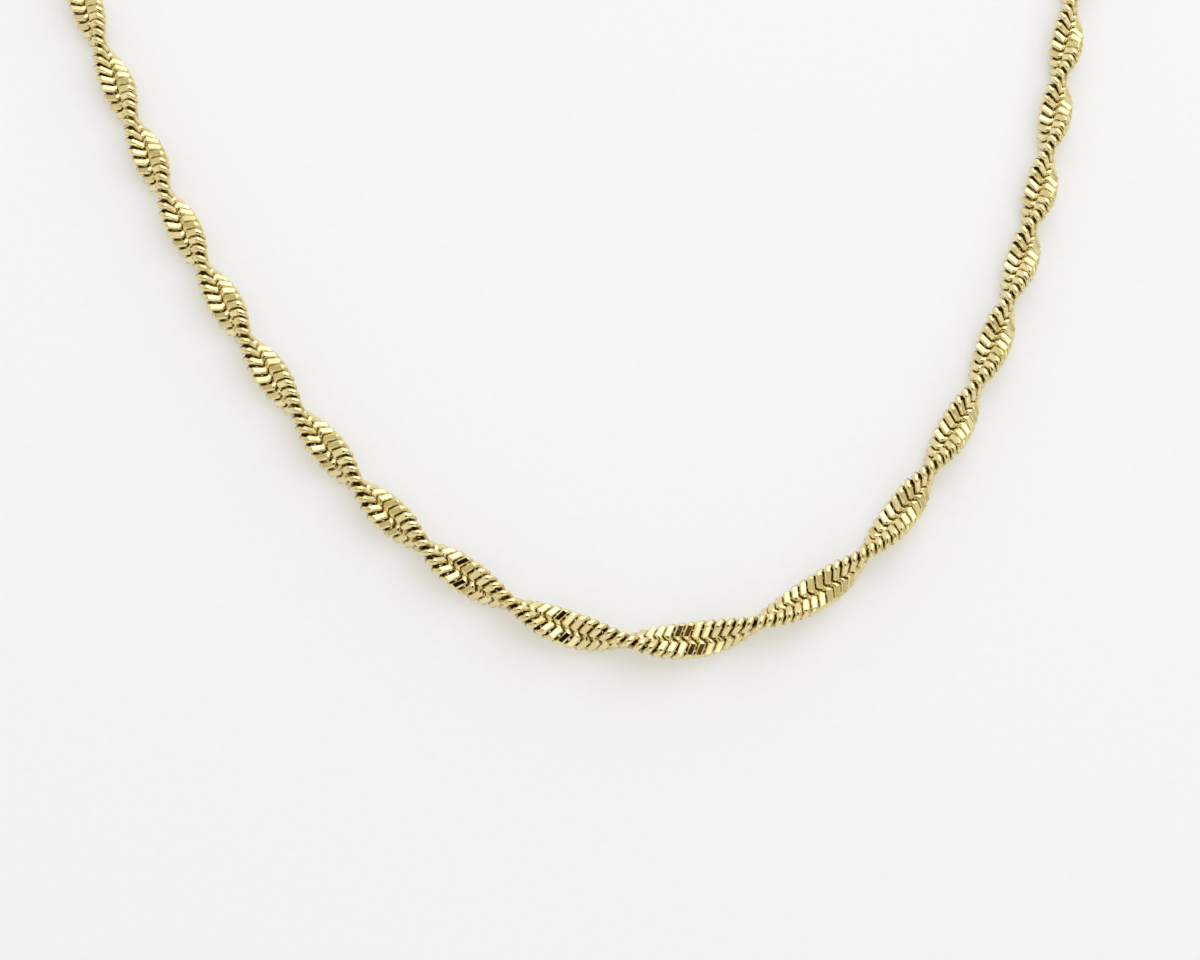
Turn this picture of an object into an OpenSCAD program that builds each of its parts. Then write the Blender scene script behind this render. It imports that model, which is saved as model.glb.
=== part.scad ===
// Flat link chain, twisted along its length, closed into a necklace by a plain barrel clasp
// and laid on a flat surface. Millimetres, +Z up, X to the right, Y to the back of the loop.

/* [Chain] */
// Width of the flat chain, which is also the diameter that its twist sweeps
chain_width = 3.2; // [2:0.1:4]
// Rings of the envelope between two points of the route
rings_per_span = 2; // [1:1:2]

/* [Clasp] */
// Room between a chain end and the wall of its cup
cup_clearance = 0.15; // [0.1:0.05:0.3]
// Wall of the two end cups
cup_wall = 0.3; // [0.2:0.05:0.6]
// Depth to which each chain end sits in its cup
chain_grip = 2.2; // [1:0.1:3]
// Metal between the foot of a cup and the neck behind it
cup_floor = 0.6; // [0.3:0.1:1]
// Length of the waist between a cup and the barrel
waist_length = 0.8; // [0.4:0.1:1.2]
// Diameter of that waist
waist_diameter = 2.4; // [1.6:0.1:3]
// Rounding of the shoulders of the barrel and the cups
shoulder_radius = 0.5; // [0.2:0.05:0.8]

/* [Hidden] */

envelope_sides = 8;
arc_steps = 6;
clasp_facets = 64;
gold = [0.86, 0.73, 0.42];
pale_gold = [0.84, 0.70, 0.38];

// The chain turns about its own middle line, so it lies half its width above the surface.
axis_height = chain_width / 2;
// The envelope has a flat underneath. Its corners stand a little further out than its flats.
corner_radius = axis_height / cos(180 / envelope_sides);
socket_radius = corner_radius + cup_clearance;
clasp_radius = socket_radius + cup_wall;

// Plan of the chain's middle line, as [x, y]. The front run goes from the widest place on
// the left, round the narrow front of the loop, to the widest place on the right.
front_run = [
    [-54.5, 13], [-53, 1], [-50, -12], [-46, -25.5], [-41.5, -38], [-37.5, -47.5],
    [-32.5, -57.5], [-26.5, -67], [-20.5, -74.5], [-12.5, -81.5], [-3.5, -86], [7, -86.5],
    [17, -82.5], [24, -76.5], [31.5, -66.5], [37, -56], [41.5, -45], [45, -34],
    [48, -23.5], [51, -12], [53, 0.5], [54.5, 13]
];
// The back of the loop is the same on both sides: this is its right half, up to the clasp.
back_run = [
    [55, 26], [53.5, 38.5], [49.5, 51.5], [43, 63], [34, 73], [23.5, 80.5], [13.5, 85.5],
    [7.5, 86.5], [4.5, 86.5]
];

back_count = len(back_run);
route = concat(
    [for (i = [back_count - 1:-1:0]) [-back_run[i][0], back_run[i][1]]],
    front_run,
    back_run
);
span_count = len(route) - 1;
chain_end = back_run[back_count - 1];
cup_mouth = chain_end[0] + chain_grip;
// Past this distance from the middle of the clasp the chain lies on the surface.
climb_foot = 22;

// The chain's ends lie along X in the clasp, so the route is mirrored in a line across each end.
function before_start() = [2 * route[0][0] - route[1][0], route[1][1]];
function after_end() = [2 * route[span_count][0] - route[span_count - 1][0], route[span_count - 1][1]];
function route_point(i) = i < 0 ? before_start() : i > span_count ? after_end() : route[i];

// Smooth curve through four neighbouring points, between the middle two
function curve_between(a, b, c, d, t) =
    0.5 * (2 * b + (c - a) * t + (2 * a - 5 * b + 4 * c - d) * t * t + (3 * b - a - 3 * c + d) * t * t * t);

function plan_at(i, t) =
    curve_between(route_point(i - 1), route_point(i), route_point(i + 1), route_point(i + 2), t);

// The clasp is thicker than the chain, so the chain climbs a little to reach its cups.
function eased(share) = share * share * (3 - 2 * share);
function climb_share(plan) = plan[1] < 0
    ? 0
    : min(1, max(0, (climb_foot - abs(plan[0])) / (climb_foot - cup_mouth)));
function middle_height(plan) = axis_height + (clasp_radius - axis_height) * eased(climb_share(plan));
function middle_at(i, t) = let (plan = plan_at(i, t)) [plan[0], plan[1], middle_height(plan)];

middle_line = concat(
    [for (i = [0:span_count - 1]) for (k = [0:rings_per_span - 1]) middle_at(i, k / rings_per_span)],
    [middle_at(span_count - 1, 1)]
);
ring_count = len(middle_line);

// Seen from above the route runs anticlockwise, so it leaves and enters the clasp towards -X.
heading_in_cups = [-1, 0, 0];
function unit(v) = v / norm(v);
function heading(r) = r == 0 || r == ring_count - 1
    ? heading_in_cups
    : unit(middle_line[r + 1] - middle_line[r - 1]);
function sideways(r) = unit(cross(heading(r), [0, 0, 1]));
function upwards(r) = cross(sideways(r), heading(r));
function ring_corner(r, k) =
    let (turn = 360 * (k + 0.5) / envelope_sides)
    middle_line[r] + corner_radius * (cos(turn) * sideways(r) + sin(turn) * upwards(r));

ring_corners = [for (r = [0:ring_count - 1]) for (k = [0:envelope_sides - 1]) ring_corner(r, k)];
function corner_index(r, k) = r * envelope_sides + k % envelope_sides;
side_faces = [
    for (r = [0:ring_count - 2]) for (k = [0:envelope_sides - 1])
        [corner_index(r, k), corner_index(r, k + 1), corner_index(r + 1, k + 1), corner_index(r + 1, k)]
];
start_face = [for (k = [envelope_sides - 1:-1:0]) corner_index(0, k)];
end_face = [for (k = [0:envelope_sides - 1]) corner_index(ring_count - 1, k)];

// Points of an arc, as [distance from the axis, distance along it]
function arc_points(centre, radius, from, to) = [
    for (s = [0:arc_steps])
        let (turn = from + (to - from) * s / arc_steps)
        centre + radius * [cos(turn), sin(turn)]
];

socket_foot = chain_end[0] - cup_clearance;
cup_back = socket_foot - cup_floor;
barrel_end = cup_back - waist_length;
waist_radius = waist_diameter / 2;
shoulder_centre = clasp_radius - shoulder_radius;
lip_radius = cup_wall / 2;

// Half of the clasp's outline, from its middle to a cup's mouth and back down the socket
half_outline = concat(
    arc_points([shoulder_centre, barrel_end - shoulder_radius], shoulder_radius, 0, 90),
    [[waist_radius, barrel_end], [waist_radius, cup_back]],
    arc_points([shoulder_centre, cup_back + shoulder_radius], shoulder_radius, -90, 0),
    arc_points([clasp_radius - lip_radius, cup_mouth - lip_radius], lip_radius, 0, 180),
    [[socket_radius, socket_foot], [0, socket_foot]]
);
outline_count = len(half_outline);
clasp_outline = concat(
    half_outline,
    [for (i = [outline_count - 1:-1:0]) [half_outline[i][0], -half_outline[i][1]]]
);

// Envelope of the twisted chain: one closed tube along its true route
module twisted_chain() {
    color(gold)
    polyhedron(points = ring_corners, faces = concat(side_faces, [start_face], [end_face]), convexity = 10);
}

// Barrel with a cup at each end, where the chain's ends are held
module clasp() {
    color(pale_gold)
    translate([0, chain_end[1], clasp_radius])
    rotate([0, 90, 0])
    rotate_extrude($fn = clasp_facets)
    polygon(clasp_outline);
}

twisted_chain();
clasp();
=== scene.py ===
# %% [markdown]
# # Twisted flat chain necklace
# The necklace is one flat chain of small wire links that lie close together. The whole chain is
# turned about its own middle line, so that it shows its face, its edge and its face again all the
# way round, and a barrel clasp closes it. The CAD model gives the route, the sizes and the clasp.
# This file makes the links, the gold and the photo studio around them.

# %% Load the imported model
import math

import bpy
import numpy as np
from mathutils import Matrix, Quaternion, Vector


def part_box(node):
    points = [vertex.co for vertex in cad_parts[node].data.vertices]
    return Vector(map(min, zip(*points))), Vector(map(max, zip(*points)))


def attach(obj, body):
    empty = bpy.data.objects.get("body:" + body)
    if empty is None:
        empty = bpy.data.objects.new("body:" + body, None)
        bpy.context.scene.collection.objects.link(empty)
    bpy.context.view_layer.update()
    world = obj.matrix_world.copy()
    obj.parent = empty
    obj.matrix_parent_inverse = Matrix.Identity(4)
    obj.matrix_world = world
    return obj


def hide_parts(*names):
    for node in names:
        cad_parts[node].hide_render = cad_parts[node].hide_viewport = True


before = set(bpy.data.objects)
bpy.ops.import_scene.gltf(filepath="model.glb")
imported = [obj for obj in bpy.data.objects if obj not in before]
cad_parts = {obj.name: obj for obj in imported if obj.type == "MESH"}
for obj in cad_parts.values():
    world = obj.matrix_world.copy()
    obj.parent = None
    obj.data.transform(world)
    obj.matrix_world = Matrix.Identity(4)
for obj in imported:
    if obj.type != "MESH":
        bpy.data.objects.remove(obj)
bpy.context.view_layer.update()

MM = 0.001
UP = Vector((0, 0, 1))
scene = bpy.context.scene


# %% [markdown]
# ## Camera
# The photograph looks down on the front of the necklace from close by, so the near part of the
# loop looks larger than the far part. A long lens from far away would lose that. The camera
# therefore stands where the real one stood, and is turned a little about its own axis.

# %% Camera
CAMERA_PLACE = Vector((-16.0, -119.7, 158.4)) * MM
CAMERA_AIM = Vector((-2.25, -71.5, 0.0)) * MM
CAMERA_ROLL = math.radians(12.0)
SENSOR_WIDTH = 36.0
LENS = 56.2
NEAREST, FARTHEST = 0.01, 20

camera = bpy.data.objects.new("camera", bpy.data.cameras.new("camera"))
camera.data.sensor_width = SENSOR_WIDTH
camera.data.lens = LENS
camera.data.clip_start, camera.data.clip_end = NEAREST, FARTHEST
camera.location = CAMERA_PLACE
camera.rotation_mode = "QUATERNION"
level_view = (CAMERA_AIM - CAMERA_PLACE).to_track_quat("-Z", "Y")
camera.rotation_quaternion = level_view @ Quaternion((0, 0, 1), CAMERA_ROLL)
scene.collection.objects.link(camera)
scene.camera = camera
print("camera stands %.0f mm from its aim" % ((CAMERA_AIM - CAMERA_PLACE).length / MM))

# %% [markdown]
# ## Shader helpers
# Every finish here is built from nodes. Three small helpers keep that readable: one adds a node,
# one sets its inputs, and one starts a material that has only its output and its Principled
# shader.

# %% Shader helpers
def add_node(tree, kind, place=(0, 0), **settings):
    node = tree.nodes.new(kind)
    node.location = place
    for name, value in settings.items():
        setattr(node, name, value)
    return node


def set_inputs(node, **values):
    """Set inputs by name, with _ for each space in a name."""
    for name, value in values.items():
        node.inputs[name.replace("_", " ")].default_value = value
    return node


def start_material(name):
    material = bpy.data.materials.new(name)
    material.use_nodes = True
    tree = material.node_tree
    tree.nodes.clear()
    output = add_node(tree, "ShaderNodeOutputMaterial", (600, 0))
    shader = add_node(tree, "ShaderNodeBsdfPrincipled", (300, 0))
    tree.links.new(shader.outputs["BSDF"], output.inputs["Surface"])
    return material, tree, shader


# %% [markdown]
# ## Table
# The necklace lies on plain white card. It could be one flat colour, but real card has the
# faintest mottling, so a fine noise mixes two greys that are almost alike. The card also glows
# with a little painted warm light, though it is no lamp, so that the shadows beside the gold come
# out pale and warm.

# %% White card
CARD_SIZE = 6.0
CARD_ROUGHNESS = 0.8
DARKER_GREY, LIGHTER_GREY = (0.562, 0.588, 0.696, 1), (0.574, 0.600, 0.708, 1)
MOTTLE_SCALE, MOTTLE_DETAIL = 1500.0, 4.0
# Heights of the noise at which the darker grey ends and the lighter grey begins
DARKER_END, LIGHTER_START = 0.35, 0.65
# Painted glow: warm light that the card gives off though it is no lamp, standing in for fill and for
# light thrown back from the gold
PAINTED_GLOW, PAINTED_GLOW_STRENGTH = (1.0, 0.94, 0.80, 1), 0.35

card_white, tree, shader = start_material("white_card")
set_inputs(shader, Roughness=CARD_ROUGHNESS, Specular_IOR_Level=0.0)
# The card's emission is the painted warm glow that lifts and warms the shadows beside the chain
set_inputs(shader, Emission_Color=PAINTED_GLOW, Emission_Strength=PAINTED_GLOW_STRENGTH)
place = add_node(tree, "ShaderNodeTexCoord", (-700, 0))
mottle = add_node(tree, "ShaderNodeTexNoise", (-500, 0))
set_inputs(mottle, Scale=MOTTLE_SCALE, Detail=MOTTLE_DETAIL)
ramp = add_node(tree, "ShaderNodeValToRGB", (-250, 0))
darker, lighter = ramp.color_ramp.elements
darker.position, darker.color = DARKER_END, DARKER_GREY
lighter.position, lighter.color = LIGHTER_START, LIGHTER_GREY
tree.links.new(place.outputs["Object"], mottle.inputs["Vector"])
tree.links.new(mottle.outputs["Fac"], ramp.inputs["Fac"])
tree.links.new(ramp.outputs["Color"], shader.inputs["Base Color"])


def flat_piece(name, corners, material):
    mesh = bpy.data.meshes.new(name)
    mesh.from_pydata([tuple(c) for c in corners], [], [tuple(range(len(corners)))])
    mesh.materials.append(material)
    piece = bpy.data.objects.new(name, mesh)
    scene.collection.objects.link(piece)
    return piece


half = CARD_SIZE / 2
corners = [(-half, -half, 0), (half, -half, 0), (half, half, 0), (-half, half, 0)]
card = flat_piece("white_card", corners, card_white)
print("card %.0f m square" % CARD_SIZE)

# %% [markdown]
# ## Studio
# Polished gold shows little of its own: what is seen in it is the room. A plain pale world would
# make all the cut faces the same bright yellow, and a picture of a studio couldn't be tuned, so the
# room is built from parts that can each be moved and dimmed. One large soft light hangs behind the
# loop on the right, the walls are white with a few dimmer and brighter patches, and the dark things
# that the metal can mirror are the front of the camera and a brown sleeve beside it.

# %% Soft light above the back of the loop
LIGHT_PLACE = Vector((105, 190, 280)) * MM
LIGHT_AIM = Vector((0, -75, 0)) * MM
LIGHT_WIDTH, LIGHT_DEPTH = 0.40, 0.58
LIGHT_WATTS = 0.66

soft_light = bpy.data.objects.new("soft_light", bpy.data.lights.new("soft_light", "AREA"))
soft_light.data.shape = "RECTANGLE"
soft_light.data.size, soft_light.data.size_y = LIGHT_WIDTH, LIGHT_DEPTH
soft_light.data.energy = LIGHT_WATTS
soft_light.location = LIGHT_PLACE
soft_light.rotation_euler = (LIGHT_AIM - LIGHT_PLACE).to_track_quat("-Z", "Y").to_euler()
soft_light.visible_camera = False
scene.collection.objects.link(soft_light)
print("soft light %.0f mm from its aim" % ((LIGHT_AIM - LIGHT_PLACE).length / MM))

# %% Room with a warm front and a brighter back
ROOM_FRONT, ROOM_BACK = 0.84, 0.92
FRONT_TINT, BACK_TINT = (1.0, 0.965, 0.88, 1), (0.99, 1.0, 1.0, 1)
# Y of a direction at which the front of the room ends and its back begins
FRONT_END, BACK_START = -0.7, 0.5

room = bpy.data.worlds.new("white_room")
scene.world = room
room.use_nodes = True
tree = room.node_tree
tree.nodes.clear()
direction = add_node(tree, "ShaderNodeTexCoord", (-1000, 0))
axes = add_node(tree, "ShaderNodeSeparateXYZ", (-800, 0))
backness = add_node(tree, "ShaderNodeMapRange", (-600, 0), interpolation_type="SMOOTHSTEP")
set_inputs(backness, From_Min=FRONT_END, From_Max=BACK_START)
shade = set_inputs(add_node(tree, "ShaderNodeMapRange", (-400, 0)), To_Min=ROOM_FRONT, To_Max=ROOM_BACK)
tint = add_node(tree, "ShaderNodeMix", (-400, -250), data_type="RGBA")
set_inputs(tint, A=FRONT_TINT, B=BACK_TINT)
bright = add_node(tree, "ShaderNodeVectorMath", (-250, -100), operation="SCALE")
sky = add_node(tree, "ShaderNodeBackground", (-150, 0))
output = add_node(tree, "ShaderNodeOutputWorld", (100, 0))
tree.links.new(direction.outputs["Generated"], axes.inputs["Vector"])
tree.links.new(axes.outputs["Y"], backness.inputs["Value"])
tree.links.new(backness.outputs["Result"], shade.inputs["Value"])
tree.links.new(backness.outputs["Result"], tint.inputs["Factor"])
tree.links.new(tint.outputs["Result"], bright.inputs[0])
tree.links.new(shade.outputs["Result"], bright.inputs["Scale"])
tree.links.new(sky.outputs["Background"], output.inputs["Surface"])
seen = bright.outputs["Vector"]

# %% Dimmer and brighter patches of the room
# Direction of the middle, inner and outer edge in degrees, colour
ROOM_PATCHES = [
    ((-1.0, 0.15, 0.15), 12, 32, (0.76, 0.74, 0.62, 1)),
    ((1.0, 0.20, 0.15), 12, 32, (0.76, 0.74, 0.62, 1)),
    ((-0.50, -0.15, 0.85), 22, 42, (0.59, 0.56, 0.41, 1)),
    ((0.78, -0.38, 0.50), 28, 44, (0.60, 0.58, 0.46, 1)),
    ((-0.49, 0.68, 0.55), 5, 13, (0.76, 0.76, 0.64, 1)),
    ((0.48, 0.80, 0.30), 16, 32, (1.02, 0.99, 0.88, 1)),
    ((0.26, -0.78, 0.57), 10, 20, (1.3, 1.3, 1.2, 1)),
    ((-0.22, -0.50, 0.84), 6, 12, (1.05, 1.05, 0.98, 1)),
    ((0.63, -0.02, 0.77), 4, 14, (1.0, 1.0, 0.9, 1)),
    ((0.36, -0.10, 0.93), 4, 9, (0.60, 0.58, 0.46, 1)),
]

for middle, inner, outer, colour in ROOM_PATCHES:
    nearness = add_node(tree, "ShaderNodeVectorMath", (-600, -400), operation="DOT_PRODUCT")
    nearness.inputs[1].default_value = Vector(middle).normalized()
    inside = add_node(tree, "ShaderNodeMapRange", (-400, -400), interpolation_type="SMOOTHSTEP")
    set_inputs(inside, From_Min=math.cos(math.radians(outer)), From_Max=math.cos(math.radians(inner)))
    patch = set_inputs(add_node(tree, "ShaderNodeMix", (-200, -400), data_type="RGBA"), B=colour)
    tree.links.new(direction.outputs["Generated"], nearness.inputs[0])
    tree.links.new(nearness.outputs["Value"], inside.inputs["Value"])
    tree.links.new(inside.outputs["Result"], patch.inputs["Factor"])
    tree.links.new(seen, patch.inputs["A"])
    seen = patch.outputs["Result"]
print("%d patches in the room" % len(ROOM_PATCHES))

# %% Plain wall that a low camera sees behind the card
# Only the camera sees it: the metal mirrors the room with its patches.
WALL_BEHIND = (0.81, 0.81, 0.79, 1)

ray = add_node(tree, "ShaderNodeLightPath", (-600, 300))
plain = set_inputs(add_node(tree, "ShaderNodeMix", (-350, 300), data_type="RGBA"), B=WALL_BEHIND)
tree.links.new(ray.outputs["Is Camera Ray"], plain.inputs["Factor"])
tree.links.new(seen, plain.inputs["A"])
tree.links.new(plain.outputs["Result"], sky.inputs["Color"])

# %% Dark things by the camera, seen only in the metal
DISC_SIDES = 32
MATT = 0.8
# Name, shift of the middle from the camera, radius, colour
DARK_THINGS = [
    ("camera_front", Vector((2, 36, 5)) * MM, 46 * MM, (0.016, 0.010, 0.004, 1)),
    ("brown_sleeve", Vector((18, 5, 15)) * MM, 58 * MM, (0.15, 0.072, 0.024, 1)),
]

view_line = (CAMERA_AIM - CAMERA_PLACE).normalized()
across = view_line.cross(UP).normalized()
rise = across.cross(view_line)
turns = [2 * math.pi * k / DISC_SIDES for k in range(DISC_SIDES)]
for name, shift, radius, colour in DARK_THINGS:
    material, tree, shader = start_material(name)
    set_inputs(shader, Base_Color=colour, Roughness=MATT, Specular_IOR_Level=0.0)
    ring = [CAMERA_PLACE + shift + radius * (math.cos(a) * across + math.sin(a) * rise) for a in turns]
    disc = flat_piece(name, ring, material)
    disc.visible_camera = disc.visible_diffuse = disc.visible_shadow = False
print("%d dark discs by the camera" % len(DARK_THINGS))

# %% Colours as they are, with no film curve
scene.view_settings.view_transform = "Standard"

# %% [markdown]
# ## Route of the chain
# The links follow the middle line of the CAD envelope. It could be worked out from the corners of
# that tube, but the points it was made from give a smoother curve, so they are written here again,
# in millimetres. The front run was read from the photograph; the back run is plain, mirrored from
# side to side, and ends in the two cups of the clasp.

# %% Route points
FRONT_RUN = [
    (-54.5, 13), (-53, 1), (-50, -12), (-46, -25.5), (-41.5, -38), (-37.5, -47.5),
    (-32.5, -57.5), (-26.5, -67), (-20.5, -74.5), (-12.5, -81.5), (-3.5, -86), (7, -86.5),
    (17, -82.5), (24, -76.5), (31.5, -66.5), (37, -56), (41.5, -45), (45, -34),
    (48, -23.5), (51, -12), (53, 0.5), (54.5, 13),
]
BACK_RUN = [
    (55, 26), (53.5, 38.5), (49.5, 51.5), (43, 63), (34, 73), (23.5, 80.5), (13.5, 85.5),
    (7.5, 86.5), (4.5, 86.5),
]
STEPS_PER_SPAN = 24

route = np.array([(-x, y) for x, y in reversed(BACK_RUN)] + FRONT_RUN + BACK_RUN, float)


def smooth_route(points, steps):
    """Curve through all the points; the ends run on as if mirrored across the cups."""
    before = [2 * points[0][0] - points[1][0], points[1][1]]
    after = [2 * points[-1][0] - points[-2][0], points[-2][1]]
    p = np.vstack([before, points, after])
    t = np.linspace(0, 1, steps, endpoint=False)[:, None]
    spans = []
    for a, b, c, d in zip(p[:-3], p[1:-2], p[2:-1], p[3:]):
        cubic = (3 * b - a - 3 * c + d) * t**3 + (2 * a - 5 * b + 4 * c - d) * t**2 + (c - a) * t + 2 * b
        spans.append(cubic / 2)
    return np.vstack([*spans, points[-1]])


plan = smooth_route(route, STEPS_PER_SPAN)
print("%d points along the plan of the chain" % len(plan))

# %% Height of the middle line
CHAIN_WIDTH = 3.2
AXIS_HEIGHT = CHAIN_WIDTH / 2
CLASP_AXIS_HEIGHT = (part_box("clasp")[1].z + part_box("clasp")[0].z) / 2 / MM
CUP_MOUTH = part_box("clasp")[1].x / MM
CLIMB_FOOT = 22.0


def axis_height(plan):
    """The chain lies on the card and climbs a little to the thicker clasp."""
    share = np.clip((CLIMB_FOOT - abs(plan[:, 0])) / (CLIMB_FOOT - CUP_MOUTH), 0, 1) * (plan[:, 1] > 0)
    return AXIS_HEIGHT + (CLASP_AXIS_HEIGHT - AXIS_HEIGHT) * share**2 * (3 - 2 * share)


middle_line = np.column_stack([plan, axis_height(plan)])
along = np.concatenate([[0], np.cumsum(np.linalg.norm(np.diff(middle_line, axis=0), axis=1))])
chain_length = along[-1]
print("chain %.1f mm long, clasp axis %.2f mm above the card" % (chain_length, CLASP_AXIS_HEIGHT))

# %% [markdown]
# ## Twist
# A flat chain that is turned by hand doesn't turn evenly. One even twist would be a single number,
# but it would put the bright faces in the wrong places. So these are the places, in millimetres
# along the chain from its left end, where it lies flat on the card: each is half a turn on from
# the one before. Out of sight the half turns are all alike.

# %% Places where the chain lies flat
FLAT_PLACES = [
    144.9, 152.8, 160.6, 168.8, 176.6, 185.4, 193.4, 201.4, 211.3, 222.2, 234.7, 246.0,
    255.3, 264.9, 273.8, 281.1, 289.8, 297.4,
]
PLAIN_HALF_TURN = 9.0

before = np.arange(FLAT_PLACES[0] - PLAIN_HALF_TURN, -PLAIN_HALF_TURN, -PLAIN_HALF_TURN)[::-1]
after = np.arange(FLAT_PLACES[-1] + PLAIN_HALF_TURN, chain_length + PLAIN_HALF_TURN, PLAIN_HALF_TURN)
flat_places = np.concatenate([before, FLAT_PLACES, after])
half_turns = np.interp(along, flat_places, np.arange(len(flat_places)) - len(before))
print("%d half turns in the whole chain" % round(half_turns[-1] - half_turns[0]))

# %% [markdown]
# ## One link
# Each link is wire bent round both edges of the chain, with two slanted arms on either face. The
# outer side of each arm is cut flat and polished, and its inner end curls down towards the middle
# of the chain and passes under its neighbours. A curve with a bevel would be quicker to write, but
# its section is the same from end to end, and here it changes, so a bar is skinned over sections.
# A link is the same when it is turned half round along or across the chain, so only one arm is
# described, and half a link is made from it. Its sections have six sides, because there are
# hundreds of links; sharp edges round the cut faces keep those as flat as mirrors.

# %% Section of the wire
# Width of the wire, width of its flat outer side, drop of its shoulders and its whole depth
CUT_WIRE = (0.66, 0.39, 0.08, 0.43)
TURN_WIRE = (0.62, 0.24, 0.16, 0.46)
TIP_WIRE = (0.50, 0.28, 0.10, 0.34)
CROSSING_WIRE = (0.26, 0.12, 0.08, 0.22)
FOOT_SHARE = 0.9
# Which of the six points of a section lie deep inside the chain
# In the golds these deep points get painted shade and extra grain
DEEP_POINTS = (0, 0, 0, 1, 1, 0)


def wire_section(width, flat, shoulder, depth):
    """Six points round the wire: across it, and outwards from its outer side."""
    foot = FOOT_SHARE * width
    return [
        (flat / 2, 0), (-flat / 2, 0), (-width / 2, -shoulder),
        (-foot / 2, -depth), (foot / 2, -depth), (width / 2, -shoulder),
    ]


def unit(v):
    v = np.array(v, float)
    return v / np.linalg.norm(v)


# %% One arm, from the middle of the chain to its edge
CHAIN_THICKNESS = 0.96
# Outer side of the wire, in millimetres: along the chain, across it, and down from its face
CROSSING, CROSSING_DROP = (0.03, -0.01), 0.34
TIP, TIP_DROP = (-0.50, 0.12), 0.11
ELBOW = (-0.685, 0.40)
ARM_END = (-0.20, 1.28)
BEND, BEND_DROP = (-0.23, 1.50), 0.155


def front_arm():
    """Stations of the wire: place, run, outward, section. Runs and outward sides lean at the bends."""
    face = CHAIN_THICKNESS / 2
    out = np.array((0, 0, 1.0))
    crossing = np.array((*CROSSING, face - CROSSING_DROP))
    tip = np.array((*TIP, face - TIP_DROP))
    elbow, end = np.array((*ELBOW, face)), np.array((*ARM_END, face))
    bend, turn = np.array((*BEND, face - BEND_DROP)), np.array((0, CHAIN_WIDTH / 2, 0))
    rising = unit(end - elbow)
    return [
        (crossing, unit(tip - crossing), out, wire_section(*CROSSING_WIRE)),
        (tip, unit(elbow - tip + (-0.1, 0, 0)), unit((0.05, -0.15, 1)), wire_section(*TIP_WIRE)),
        (elbow, unit(rising + (-0.25, 0.2, 0)), out, wire_section(*CUT_WIRE)),
        (end, unit(rising + (-0.2, 0.2, 0)), out, wire_section(*CUT_WIRE)),
        (bend, unit((0.2, 0.6, -0.75)), unit((0, 0.75, 0.6)), wire_section(*TURN_WIRE)),
        (turn, unit((0.5, 0, -0.85)), unit((0, 1, 0)), wire_section(*TURN_WIRE)),
    ]


def back_arm(front):
    """The front arm, turned half round the chain's cross axis and run the other way."""
    flip = np.array((-1, 1, -1))
    turned = [(flip * place, -flip * run, flip * out, section) for place, run, out, section in front]
    return turned[::-1]


# %% Half a link
# Stretches from elbow to arm end, on the front and on the back, where the outer side is cut flat
CUT_STRETCHES = (2, 7)


def half_link_mesh(name):
    """Closed bar through one front arm, the turn round the edge and the back arm."""
    front = front_arm()
    stations = front + back_arm(front)[1:]
    points, wire_place = [], []
    for row, (place, run, outward, section) in enumerate(stations):
        across = unit(np.cross(outward, run))
        outward = unit(np.cross(run, across))
        points += [place + u * across + v * outward for u, v in section]
        wire_place += [(u, v, row) for u, v in section]
    sides = len(DEEP_POINTS)
    faces, cut = [], []
    for s in range(len(stations) - 1):
        for k in range(sides):
            a, b = s * sides + k, s * sides + (k + 1) % sides
            faces.append((a, b, b + sides, a + sides))
            cut.append(k == 0 and s in CUT_STRETCHES)
    faces += [tuple(range(sides))[::-1], tuple(range(len(points) - sides, len(points)))]
    cut += [False, False]
    mesh = bpy.data.meshes.new(name)
    mesh.from_pydata(np.array(points) * MM, [], faces)
    mesh.polygons.foreach_set("use_smooth", [True] * len(faces))
    mark_link(mesh, faces, cut, DEEP_POINTS * len(stations), wire_place)
    return mesh


def mark_link(mesh, faces, cut, recess, wire_place):
    """Marks that the chain's tree and the golds read, and sharp edges round the cut faces."""
    mesh.attributes.new("cut_face", "BOOLEAN", "FACE").data.foreach_set("value", cut)
    mesh.attributes.new("recess", "FLOAT", "POINT").data.foreach_set("value", recess)
    places = mesh.attributes.new("wire_place", "FLOAT_VECTOR", "POINT")
    places.data.foreach_set("vector", np.ravel(wire_place))
    rims = {tuple(sorted(e)) for c, f in zip(cut, faces) if c for e in zip(f, f[1:] + f[:1])}
    sharp = mesh.attributes.new("sharp_edge", "BOOLEAN", "EDGE")
    sharp.data.foreach_set("value", [tuple(sorted(e.vertices)) in rims for e in mesh.edges])


half_link = bpy.data.objects.new("half_link", half_link_mesh("half_link"))
print("half a link: %d faces" % len(half_link.data.polygons))

# %% [markdown]
# ## Gold
# Three golds are needed: the round rims and flanks of the wire, which are softly polished, stay
# grainy deep inside the chain and are darkened there by painted shade, the cut faces, which are
# mirrors with fine lines left by the tool, and the turned clasp. The slow drift of tone along the
# chain and the fine grain are the same in all of them, so they are one node group, which each
# material uses with its own values.
# The cut faces and the clasp also have lines, a second bump under the grain with its own pattern.

# %% Helper for a node group with named sockets
def group_with(name, inputs, outputs):
    group = bpy.data.node_groups.new(name, "ShaderNodeTree")
    for socket, kind, value in inputs:
        made = group.interface.new_socket(socket, in_out="INPUT", socket_type=kind)
        made.default_value = value
    for socket, kind in outputs:
        group.interface.new_socket(socket, in_out="OUTPUT", socket_type=kind)
    given = add_node(group, "NodeGroupInput", (-900, 0))
    put_out = add_node(group, "NodeGroupOutput", (500, 0))
    return group, given, put_out


# %% Shared finish: drift of tone and fine grain
GOLD, DEEP_GOLD = (0.89, 0.78, 0.45, 1), (0.84, 0.71, 0.37, 1)
PATCH_SCALE, PATCH_DETAIL = 260.0, 3.0
GRAIN_SCALE, GRAIN_DETAIL = 5200.0, 2.0
# Stretch of each noise that is spread from one end of its effect to the other
PATCH_SPREAD, GRAIN_SPREAD = (0.35, 0.7), (0.3, 0.7)

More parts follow.
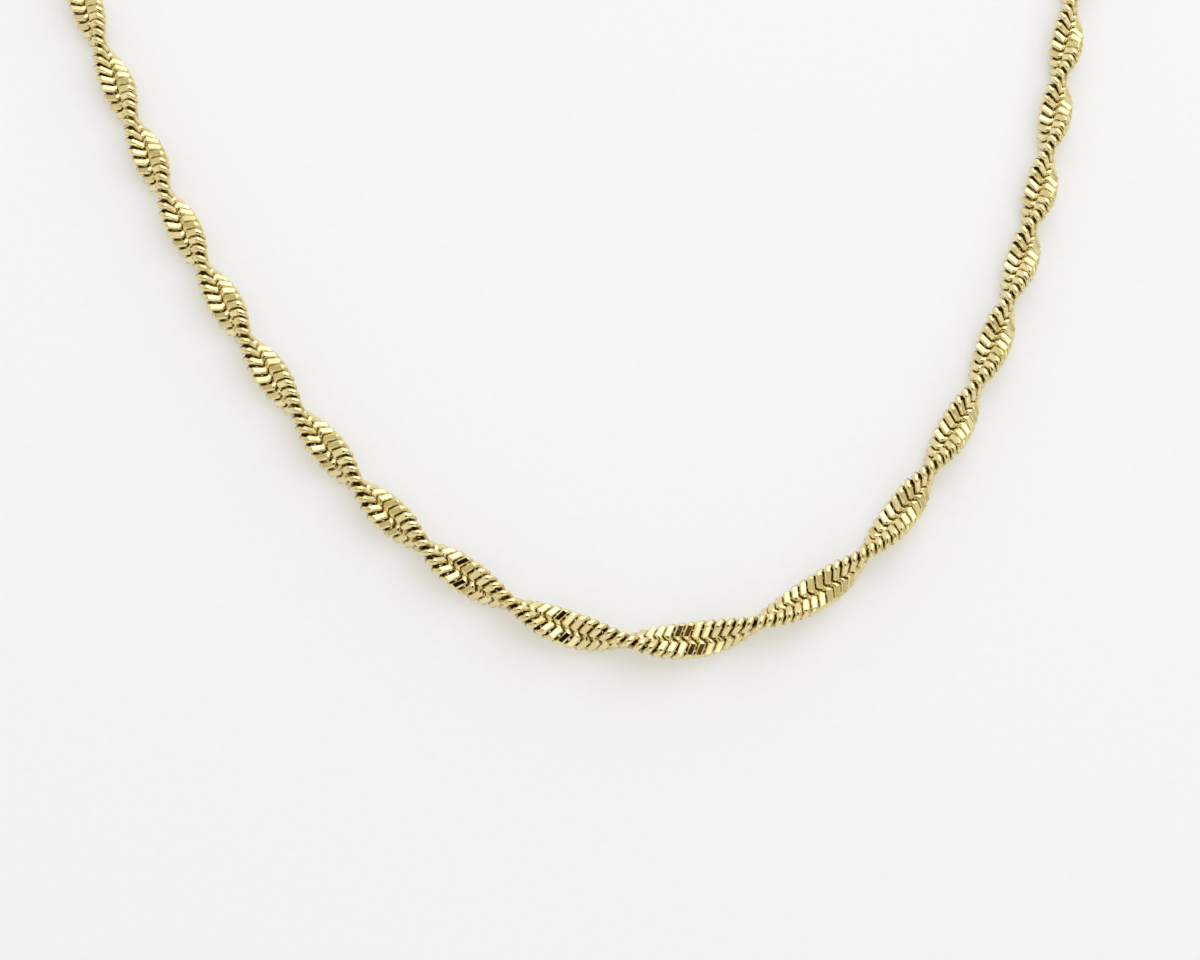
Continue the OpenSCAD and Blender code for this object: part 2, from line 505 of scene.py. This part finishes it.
drift, given, put_out = group_with(
    "gold_drift",
    [
        ("Bright Gold", "NodeSocketColor", GOLD), ("Deep Gold", "NodeSocketColor", DEEP_GOLD),
        ("Patch Scale", "NodeSocketFloat", PATCH_SCALE),
        ("Smoothest", "NodeSocketFloat", 0.08), ("Roughest", "NodeSocketFloat", 0.2),
    ],
    [("Color", "NodeSocketColor"), ("Roughness", "NodeSocketFloat"), ("Grain", "NodeSocketFloat")],
)
place = add_node(drift, "ShaderNodeTexCoord", (-900, -300))
patches = set_inputs(add_node(drift, "ShaderNodeTexNoise", (-650, -100)), Detail=PATCH_DETAIL)
grain = add_node(drift, "ShaderNodeTexNoise", (-650, -400))
set_inputs(grain, Scale=GRAIN_SCALE, Detail=GRAIN_DETAIL)
tone = add_node(drift, "ShaderNodeMapRange", (-400, 0))
set_inputs(tone, From_Min=PATCH_SPREAD[0], From_Max=PATCH_SPREAD[1])
mix = add_node(drift, "ShaderNodeMix", (-100, 0), data_type="RGBA")
rough = add_node(drift, "ShaderNodeMapRange", (-100, -300))
set_inputs(rough, From_Min=GRAIN_SPREAD[0], From_Max=GRAIN_SPREAD[1])
drift.links.new(place.outputs["Object"], patches.inputs["Vector"])
drift.links.new(place.outputs["Object"], grain.inputs["Vector"])
drift.links.new(given.outputs["Patch Scale"], patches.inputs["Scale"])
drift.links.new(patches.outputs["Fac"], tone.inputs["Value"])
drift.links.new(tone.outputs["Result"], mix.inputs["Factor"])
drift.links.new(given.outputs["Bright Gold"], mix.inputs["A"])
drift.links.new(given.outputs["Deep Gold"], mix.inputs["B"])
drift.links.new(grain.outputs["Fac"], rough.inputs["Value"])
drift.links.new(given.outputs["Smoothest"], rough.inputs["To Min"])
drift.links.new(given.outputs["Roughest"], rough.inputs["To Max"])
drift.links.new(mix.outputs["Result"], put_out.inputs["Color"])
drift.links.new(rough.outputs["Result"], put_out.inputs["Roughness"])
drift.links.new(grain.outputs["Fac"], put_out.inputs["Grain"])
print("gold_drift: %d nodes" % len(drift.nodes))

# %% Gold that any piece can wear
# Painted shade: the dark brown gold that the base colour turns to on the points deep inside the chain,
# where the links shade each other
PAINTED_SHADE_GOLD = (0.45, 0.33, 0.075, 1)
GRAIN_DEPTH = 0.02 * MM


def gold_material(name, smoothest, roughest, bump, speckle=0.0):
    """Gold over the whole piece, with painted shade on the points deep inside the chain; speckle is the
    extra grain in the recesses of the wire.
    """
    material, tree, shader = start_material(name)
    set_inputs(shader, Metallic=1.0)
    finish = add_node(tree, "ShaderNodeGroup", (-300, 0), node_tree=drift)
    set_inputs(finish, Smoothest=smoothest, Roughest=roughest)
    dents = add_node(tree, "ShaderNodeBump", (0, -300))
    set_inputs(dents, Strength=bump, Distance=GRAIN_DEPTH)
    # Painted shade: the recess mark mixes the base colour towards the dark gold deep inside the chain
    recess = add_node(tree, "ShaderNodeAttribute", (-300, 250), attribute_name="recess")
    painted_shade = add_node(tree, "ShaderNodeMix", (0, 150), data_type="RGBA")
    set_inputs(painted_shade, B=PAINTED_SHADE_GOLD)
    tree.links.new(recess.outputs["Fac"], painted_shade.inputs["Factor"])
    tree.links.new(finish.outputs["Color"], painted_shade.inputs["A"])
    tree.links.new(painted_shade.outputs["Result"], shader.inputs["Base Color"])
    tree.links.new(finish.outputs["Roughness"], shader.inputs["Roughness"])
    deep = add_node(tree, "ShaderNodeMath", (-300, -350), operation="MULTIPLY")
    height = add_node(tree, "ShaderNodeMath", (-150, -250), operation="MULTIPLY_ADD")
    height.inputs[1].default_value = speckle
    tree.links.new(finish.outputs["Grain"], deep.inputs[0])
    tree.links.new(recess.outputs["Fac"], deep.inputs[1])
    tree.links.new(deep.outputs["Value"], height.inputs[0])
    tree.links.new(finish.outputs["Grain"], height.inputs[2])
    tree.links.new(height.outputs["Value"], dents.inputs["Height"])
    tree.links.new(dents.outputs["Normal"], shader.inputs["Normal"])
    return material, tree, dents


# %% Helper for fine lines
LINE_DEPTH = 0.01 * MM


def add_lines(tree, dents, pattern, strength):
    """Fine lines under the grain: pattern is the output that gives their height."""
    lines = add_node(tree, "ShaderNodeBump", (-150, -500))
    set_inputs(lines, Strength=strength, Distance=LINE_DEPTH)
    tree.links.new(pattern, lines.inputs["Height"])
    tree.links.new(lines.outputs["Normal"], dents.inputs["Normal"])


# %% Gold of the wire
wire_gold, _, _ = gold_material("wire_gold", smoothest=0.10, roughest=0.20, bump=0.25, speckle=3.0)

# %% Gold of the cut faces, with the lines of the cutting tool along each of them
LINES_ACROSS, LINES_ALONG = 22.0, 1.2
LINE_STRENGTH = 0.2
# How fast the pattern changes from place to place, so that no two faces have the same lines
APART_PER_METRE = 1500.0

cut_gold, tree, dents = gold_material("cut_gold", smoothest=0.02, roughest=0.07, bump=0.02)
spot = add_node(tree, "ShaderNodeAttribute", (-1100, -500), attribute_name="wire_place")
stretch = add_node(tree, "ShaderNodeVectorMath", (-900, -500), operation="MULTIPLY")
stretch.inputs[1].default_value = (LINES_ACROSS, LINES_ACROSS, LINES_ALONG)
here = add_node(tree, "ShaderNodeTexCoord", (-1100, -700))
apart = add_node(tree, "ShaderNodeVectorMath", (-700, -500), operation="MULTIPLY_ADD")
apart.inputs[1].default_value = (APART_PER_METRE, APART_PER_METRE, APART_PER_METRE)
scratches = set_inputs(add_node(tree, "ShaderNodeTexNoise", (-500, -500)), Scale=1.0, Detail=2.0)
tree.links.new(spot.outputs["Vector"], stretch.inputs[0])
tree.links.new(here.outputs["Object"], apart.inputs[0])
tree.links.new(stretch.outputs["Vector"], apart.inputs[2])
tree.links.new(apart.outputs["Vector"], scratches.inputs["Vector"])
add_lines(tree, dents, scratches.outputs["Fac"], LINE_STRENGTH)
print("cut_gold: %d nodes" % len(tree.nodes))

# %% [markdown]
# ## The chain
# An array bent along a curve would distort every link and turn them all evenly, so Geometry Nodes
# set the links out one by one. The route comes in as a line of points that already carry the
# twist, counted in half turns. The tree spaces points evenly along it, works out how each link
# stands from the direction of the line and its twist, and puts two copies of the half link on
# each point, one of them turned half round.

# %% Route as a line of points
FIRST_LINK, LAST_LINK = 1.0, chain_length - 1.2
# How far the links of a stretch have slipped along the chain, as (place, slip) in millimetres
LINK_SLIPS = [
    (140, 0.2), (147, 0.25), (155, 0.2), (160, 0.1), (167, 0), (175, -0.05), (184, -0.1),
    (190, 0), (200, 0.1), (205, 0.2), (208, 0.35), (215, 0.4), (219, 0.55), (224, 0.45),
    (229, 0.6), (234, 0.45), (243, 0.3), (252, 0.25), (258, 0.05), (270, 0.05), (280, -0.15),
    (290, 0), (440, 0),
]


def route_line(name):
    """The middle line between the middles of the first and the last link."""
    inside = along[(along > FIRST_LINK) & (along < LAST_LINK)]
    stops = np.concatenate([[FIRST_LINK], inside, [LAST_LINK]])
    points = np.column_stack([np.interp(stops, along, axis) for axis in middle_line.T])
    mesh = bpy.data.meshes.new(name)
    mesh.from_pydata(points * MM, [(i, i + 1) for i in range(len(points) - 1)], [])
    slips = np.interp(stops, *np.transpose(LINK_SLIPS))
    mesh.attributes.new("slip", "FLOAT", "POINT").data.foreach_set("value", slips * MM)
    turns = mesh.attributes.new("half_turns", "FLOAT", "POINT")
    turns.data.foreach_set("value", np.interp(stops + slips, along, half_turns))
    line = bpy.data.objects.new(name, mesh)
    scene.collection.objects.link(line)
    return line


chain = route_line("twisted_flat_chain")
print("line of %d points" % len(chain.data.vertices))

# %% Inputs of the tree
TREE_INPUTS = [
    ("Geometry", "NodeSocketGeometry"), ("Half Link", "NodeSocketObject"),
    ("Link Spacing", "NodeSocketFloat"), ("Looseness", "NodeSocketFloat"), ("Seed", "NodeSocketInt"),
    ("Wire Finish", "NodeSocketMaterial"), ("Cut Finish", "NodeSocketMaterial"),
]

tree = bpy.data.node_groups.new("links_along_route", "GeometryNodeTree")
join = tree.links.new
for socket, kind in TREE_INPUTS:
    tree.interface.new_socket(socket, in_out="INPUT", socket_type=kind)
tree.interface.new_socket("Geometry", in_out="OUTPUT", socket_type="NodeSocketGeometry")
given = add_node(tree, "NodeGroupInput", (-1200, 0))
made = add_node(tree, "NodeGroupOutput", (1500, 0))


def read_mark(name, kind, place):
    mark = add_node(tree, "GeometryNodeInputNamedAttribute", place, data_type=kind)
    mark.inputs["Name"].default_value = name
    return mark.outputs["Attribute"]


# %% A point for each link, evenly spaced and then slipped
curve = add_node(tree, "GeometryNodeMeshToCurve", (-1000, 200))
even = add_node(tree, "GeometryNodeResampleCurve", (-800, 200), mode="LENGTH")
run = add_node(tree, "GeometryNodeInputTangent", (-1000, -200))
step = add_node(tree, "ShaderNodeVectorMath", (-800, 0), operation="SCALE")
slipped = add_node(tree, "GeometryNodeSetPosition", (-500, 200))
join(given.outputs["Geometry"], curve.inputs["Mesh"])
join(curve.outputs["Curve"], even.inputs["Curve"])
join(given.outputs["Link Spacing"], even.inputs["Length"])
join(run.outputs["Tangent"], step.inputs[0])
join(read_mark("slip", "FLOAT", (-1000, 0)), step.inputs["Scale"])
join(even.outputs["Curve"], slipped.inputs["Geometry"])
join(step.outputs["Vector"], slipped.inputs["Offset"])

# %% Stance of each link: along the line, turned by the twist
angle = add_node(tree, "ShaderNodeMath", (-800, -400), operation="MULTIPLY")
angle.inputs[1].default_value = math.pi
inward = add_node(tree, "ShaderNodeVectorMath", (-800, -200), operation="CROSS_PRODUCT")
inward.inputs[0].default_value = UP
turned = add_node(tree, "ShaderNodeVectorRotate", (-500, -250), rotation_type="AXIS_ANGLE")
stand = add_node(tree, "FunctionNodeAxesToRotation", (-250, -200), primary_axis="X", secondary_axis="Y")
join(read_mark("half_turns", "FLOAT", (-1000, -400)), angle.inputs[0])
join(run.outputs["Tangent"], inward.inputs[1])
join(inward.outputs["Vector"], turned.inputs["Vector"])
join(run.outputs["Tangent"], turned.inputs["Axis"])
join(angle.outputs["Value"], turned.inputs["Angle"])
join(run.outputs["Tangent"], stand.inputs["Primary Axis"])
join(turned.outputs["Vector"], stand.inputs["Secondary Axis"])

# %% A little looseness, as in any chain
wobble = add_node(tree, "FunctionNodeRandomValue", (-500, -550), data_type="FLOAT_VECTOR")
spread = add_node(tree, "ShaderNodeMath", (-700, -600), operation="MULTIPLY")
spread.inputs[1].default_value = -1.0
loose = add_node(tree, "FunctionNodeEulerToRotation", (-250, -550))
both = add_node(tree, "FunctionNodeRotateRotation", (0, -300), rotation_space="LOCAL")
join(given.outputs["Looseness"], spread.inputs[0])
join(spread.outputs["Value"], wobble.inputs["Min"])
join(given.outputs["Looseness"], wobble.inputs["Max"])
join(given.outputs["Seed"], wobble.inputs["Seed"])
join(wobble.outputs["Value"], loose.inputs["Euler"])
join(stand.outputs["Rotation"], both.inputs["Rotation"])
join(loose.outputs["Rotation"], both.inputs["Rotate By"])

# %% Two half links on each point
shape = add_node(tree, "GeometryNodeObjectInfo", (0, -50))
half_round = add_node(tree, "FunctionNodeRotateRotation", (200, -300), rotation_space="LOCAL")
half_round.inputs["Rotate By"].default_value = (math.pi, 0, 0)
links = add_node(tree, "GeometryNodeJoinGeometry", (500, 100))
join(given.outputs["Half Link"], shape.inputs["Object"])
join(both.outputs["Rotation"], half_round.inputs["Rotation"])
for stance in (both, half_round):
    halves = add_node(tree, "GeometryNodeInstanceOnPoints", (300, 100))
    join(slipped.outputs["Geometry"], halves.inputs["Points"])
    join(shape.outputs["Geometry"], halves.inputs["Instance"])
    join(stance.outputs["Rotation"], halves.inputs["Rotation"])
    join(halves.outputs["Instances"], links.inputs["Geometry"])

# %% Real meshes and their two finishes
real = add_node(tree, "GeometryNodeRealizeInstances", (600, 100))
wire = add_node(tree, "GeometryNodeSetMaterial", (900, 100))
cut = add_node(tree, "GeometryNodeSetMaterial", (1200, 100))
join(links.outputs["Geometry"], real.inputs["Geometry"])
join(real.outputs["Geometry"], wire.inputs["Geometry"])
join(given.outputs["Wire Finish"], wire.inputs["Material"])
join(wire.outputs["Geometry"], cut.inputs["Geometry"])
join(read_mark("cut_face", "BOOLEAN", (900, -100)), cut.inputs["Selection"])
join(given.outputs["Cut Finish"], cut.inputs["Material"])
join(cut.outputs["Geometry"], made.inputs["Geometry"])
print("links_along_route: %d nodes" % len(tree.nodes))

# %% Make the chain
LINK_PITCH = 0.805
LOOSENESS = math.radians(1.5)
SEED = 7

setting = chain.modifiers.new("links", "NODES")
setting.node_group = tree
values = {
    "Half Link": half_link, "Link Spacing": LINK_PITCH * MM, "Looseness": LOOSENESS, "Seed": SEED,
    "Wire Finish": wire_gold, "Cut Finish": cut_gold,
}
for item in tree.interface.items_tree:
    if item.in_out == "INPUT" and item.name in values:
        setting[item.identifier] = values[item.name]
finished = bpy.data.meshes.new_from_object(chain.evaluated_get(bpy.context.evaluated_depsgraph_get()))
chain.modifiers.clear()
chain.data = finished
bpy.data.objects.remove(half_link)
for k in reversed(range(len(chain.data.materials))):
    if chain.data.materials[k] is None:
        chain.data.materials.pop(index=k)
print("chain: %d triangles" % sum(len(p.vertices) - 2 for p in chain.data.polygons))

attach(chain, "root")
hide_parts("twisted_chain")

# %% [markdown]
# ## Clasp
# The barrel clasp is a plain turned piece, and the CAD model already has its true shape, so it
# stays and only gets its finish. Such a part comes off a lathe: the tool leaves very fine rings
# round its axis, which lies along X. One-dimensional noise along X gives rings of uneven depth.

# %% Gold of the clasp, with the rings left by the lathe
RINGS_PER_METRE = 14000.0
RING_STRENGTH = 0.35

clasp_gold, tree, dents = gold_material("clasp_gold", smoothest=0.08, roughest=0.2, bump=0.1)
here = add_node(tree, "ShaderNodeTexCoord", (-1100, -500))
axes = add_node(tree, "ShaderNodeSeparateXYZ", (-900, -500))
rings = add_node(tree, "ShaderNodeTexNoise", (-500, -500), noise_dimensions="1D")
set_inputs(rings, Scale=RINGS_PER_METRE, Detail=2.0)
tree.links.new(here.outputs["Object"], axes.inputs["Vector"])
tree.links.new(axes.outputs["X"], rings.inputs["W"])
add_lines(tree, dents, rings.outputs["Fac"], RING_STRENGTH)

# %% Clasp
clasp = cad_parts["clasp"]
clasp.data.materials.clear()
clasp.data.materials.append(clasp_gold)
